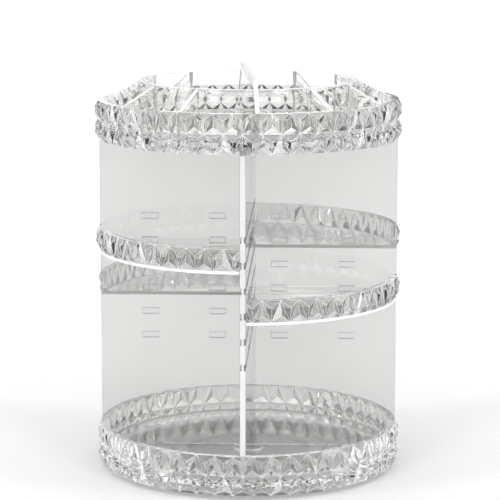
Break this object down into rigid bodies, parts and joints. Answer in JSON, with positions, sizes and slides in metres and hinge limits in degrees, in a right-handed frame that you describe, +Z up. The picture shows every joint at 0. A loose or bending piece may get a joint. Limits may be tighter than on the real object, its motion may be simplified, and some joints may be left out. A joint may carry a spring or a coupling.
{
  "type": "rotating makeup organizer",
  "caption": "Round clear acrylic carousel on a turntable foot, with faceted rims, crossed grooved dividers, draw-out quarter shelves and a lift-off top tray with compartments.",
  "frame": {"origin": "centre of the foot on the table", "axes": "+Z up along the axis of turning, -Y to the front edge of the divider, +X to the right"},
  "size_m": [0.2348, 0.2348, 0.3066],
  "materials": {
    "clear_acrylic": "clear, polished",
    "foot_plastic": "clear, satin underneath",
    "bearing_plastic": "moulded",
    "steel": "polished",
    "rubber": "matt"
  },
  "bodies": {
    "foot": {"foot_plate": "foot_plastic", "anti_slip_pads": "rubber", "lower_race": "bearing_plastic"},
    "carousel": {"base_tray": "clear_acrylic", "front_rear_divider": "clear_acrylic", "left_right_divider": "clear_acrylic", "upper_race": "bearing_plastic", "race_screws": "steel", "pivot_bush": "steel", "pivot_washer": "steel", "pivot_screw": "steel"},
    "bearing": {"ball_cage": "bearing_plastic", "bearing_balls": "steel"},
    "front_left_shelf": {"shelf_front_left": "clear_acrylic"},
    "front_right_shelf": {"shelf_front_right": "clear_acrylic"},
    "rear_left_shelf": {"shelf_rear_left": "clear_acrylic"},
    "rear_right_shelf": {"shelf_rear_right": "clear_acrylic"},
    "top": {"top_tray": "clear_acrylic", "ring_wall": "clear_acrylic", "radial_fins": "clear_acrylic", "centre_wall": "clear_acrylic"}
  },
  "joints": [
    {"name": "carousel_spin", "type": "hinge", "parent": "foot", "child": "carousel", "pos_m": [0, 0, 0], "axis": [0, 0, 1], "continuous": true},
    {"name": "bearing_roll", "type": "hinge", "parent": "foot", "child": "bearing", "pos_m": [0, 0, 0], "axis": [0, 0, 1], "continuous": true},
    {"name": "front_left_draw", "type": "slide", "parent": "carousel", "child": "front_left_shelf", "axis": [0, -1, 0], "range_m": [0, 0.09]},
    {"name": "front_right_draw", "type": "slide", "parent": "carousel", "child": "front_right_shelf", "axis": [0, -1, 0], "range_m": [0, 0.09]},
    {"name": "rear_left_draw", "type": "slide", "parent": "carousel", "child": "rear_left_shelf", "axis": [0, 1, 0], "range_m": [0, 0.09]},
    {"name": "rear_right_draw", "type": "slide", "parent": "carousel", "child": "rear_right_shelf", "axis": [0, 1, 0], "range_m": [0, 0.09]},
    {"name": "top_lift", "type": "slide", "parent": "carousel", "child": "top", "axis": [0, 0, 1], "range_m": [0, 0.08]}
  ],
  "couplings": [
    {"joint": "bearing_roll", "follows": "carousel_spin", "ratio": 0.5}
  ]
}
